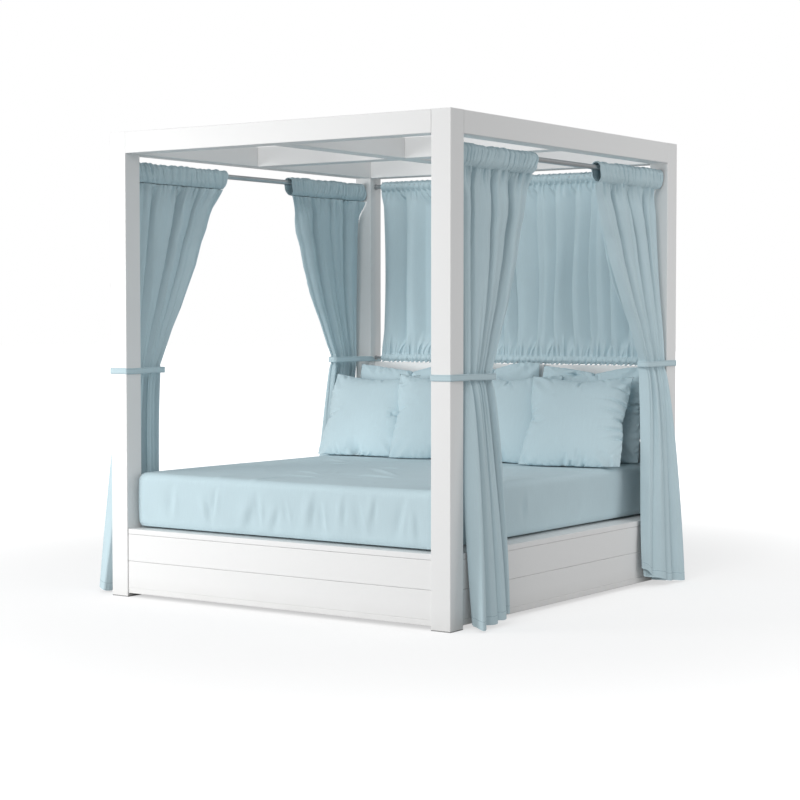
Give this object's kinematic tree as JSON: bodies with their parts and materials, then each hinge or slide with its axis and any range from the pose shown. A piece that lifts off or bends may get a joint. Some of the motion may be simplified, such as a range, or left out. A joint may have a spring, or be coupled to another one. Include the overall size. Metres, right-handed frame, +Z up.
{
  "type": "canopy daybed",
  "caption": "Outdoor daybed with a beamed canopy frame, a mattress with loose cushions, and tied-back curtains on rods.",
  "frame": {"origin": "on the floor, in the middle of the footprint", "axes": "+Z up, +Y from the foot to the headboard, +X to the right seen from the foot"},
  "size_m": [2.1838, 2.0822, 2.2],
  "materials": {
    "frame_white": "satin white powder coat",
    "rod_steel": "brushed",
    "curtain_fabric": "matt woven outdoor cloth",
    "cushion_fabric": "matt woven outdoor cloth",
    "mattress_fabric": "matt woven outdoor cloth",
    "glide_plastic": "matt grey"
  },
  "bodies": {
    "frame": {"canopy_beam_foot": "frame_white", "canopy_beam_head": "frame_white", "canopy_beam_left": "frame_white", "canopy_beam_right": "frame_white", "cross_beam_left": "frame_white", "cross_beam_long": "frame_white", "cross_beam_right": "frame_white", "curtain_cloth_foot_left": "curtain_fabric", "curtain_cloth_foot_right": "curtain_fabric", "curtain_cloth_head_left": "curtain_fabric", "curtain_cloth_head_right": "curtain_fabric", "curtain_rod_left": "rod_steel", "curtain_rod_right": "rod_steel", "deck_centre_bearer": "frame_white", "deck_centre_leg": "frame_white", "deck_left": "frame_white", "deck_right": "frame_white", "foot_cap_rail": "frame_white", "foot_lower_plank": "frame_white", "foot_upper_plank": "frame_white", "head_cap_rail": "frame_white", "head_curtain": "curtain_fabric", "head_lower_plank": "frame_white", "head_rod_lower": "rod_steel", "head_rod_upper": "rod_steel", "head_upper_plank": "frame_white", "headboard_plank_1": "frame_white", "headboard_plank_2": "frame_white", "headboard_plank_3": "frame_white", "headboard_plank_4": "frame_white", "left_cap_rail": "frame_white", "left_lower_plank": "frame_white", "left_upper_plank": "frame_white", "post_foot_left": "frame_white", "post_foot_right": "frame_white", "post_glide_foot_left": "glide_plastic", "post_glide_foot_right": "glide_plastic", "post_glide_head_left": "glide_plastic", "post_glide_head_right": "glide_plastic", "post_head_left": "frame_white", "post_head_right": "frame_white", "right_cap_rail": "frame_white", "right_lower_plank": "frame_white", "right_upper_plank": "frame_white", "tie_back_foot_left": "curtain_fabric", "tie_back_foot_right": "curtain_fabric", "tie_back_head_left": "curtain_fabric", "tie_back_head_right": "curtain_fabric"},
    "curtain_top_foot_left": {"curtain_header_foot_left": "curtain_fabric"},
    "curtain_top_foot_right": {"curtain_header_foot_right": "curtain_fabric"},
    "curtain_top_head_left": {"curtain_header_head_left": "curtain_fabric"},
    "curtain_top_head_right": {"curtain_header_head_right": "curtain_fabric"},
    "mattress": {"mattress": "mattress_fabric"},
    "back_cushion_1": {"back_cushion_1": "cushion_fabric"},
    "back_cushion_2": {"back_cushion_2": "cushion_fabric"},
    "back_cushion_3": {"back_cushion_3": "cushion_fabric"},
    "front_cushion_1": {"front_cushion_1": "cushion_fabric"},
    "front_cushion_2": {"front_cushion_2": "cushion_fabric"},
    "front_cushion_3": {"front_cushion_3": "cushion_fabric"},
    "front_cushion_4": {"front_cushion_4": "cushion_fabric"}
  },
  "joints": [
    {"name": "curtain_slide_foot_left", "type": "slide", "parent": "frame", "child": "curtain_top_foot_left", "axis": [0, 1, 0], "range_m": [0, 0.24], "deforming": ["curtain_cloth_foot_left"]},
    {"name": "curtain_slide_foot_right", "type": "slide", "parent": "frame", "child": "curtain_top_foot_right", "axis": [0, 1, 0], "range_m": [0, 0.24], "deforming": ["curtain_cloth_foot_right"]},
    {"name": "curtain_slide_head_left", "type": "slide", "parent": "frame", "child": "curtain_top_head_left", "axis": [0, -1, 0], "range_m": [0, 0.24], "deforming": ["curtain_cloth_head_left"]},
    {"name": "curtain_slide_head_right", "type": "slide", "parent": "frame", "child": "curtain_top_head_right", "axis": [0, -1, 0], "range_m": [0, 0.24], "deforming": ["curtain_cloth_head_right"]},
    {"name": "mattress_lift", "type": "slide", "parent": "frame", "child": "mattress", "axis": [0, 0, 1], "range_m": [0, 0.25]},
    {"name": "back_cushion_1_lift", "type": "slide", "parent": "mattress", "child": "back_cushion_1", "axis": [0, 0, 1], "range_m": [0, 0.3]},
    {"name": "back_cushion_2_lift", "type": "slide", "parent": "mattress", "child": "back_cushion_2", "axis": [0, 0.0698, 0.9976], "range_m": [0, 0.3]},
    {"name": "back_cushion_3_lift", "type": "slide", "parent": "mattress", "child": "back_cushion_3", "axis": [0, 0.1564, 0.9877], "range_m": [0, 0.3]},
    {"name": "front_cushion_1_take", "type": "slide", "parent": "mattress", "child": "front_cushion_1", "axis": [0, -0.866, 0.5], "range_m": [0, 0.3]},
    {"name": "front_cushion_2_take", "type": "slide", "parent": "front_cushion_1", "child": "front_cushion_2", "axis": [0, -0.866, 0.5], "range_m": [0, 0.3]},
    {"name": "front_cushion_3_take", "type": "slide", "parent": "front_cushion_2", "child": "front_cushion_3", "axis": [0, -0.866, 0.5], "range_m": [0, 0.3]},
    {"name": "front_cushion_4_take", "type": "slide", "parent": "front_cushion_3", "child": "front_cushion_4", "axis": [0, -0.866, 0.5], "range_m": [0, 0.3]}
  ]
}
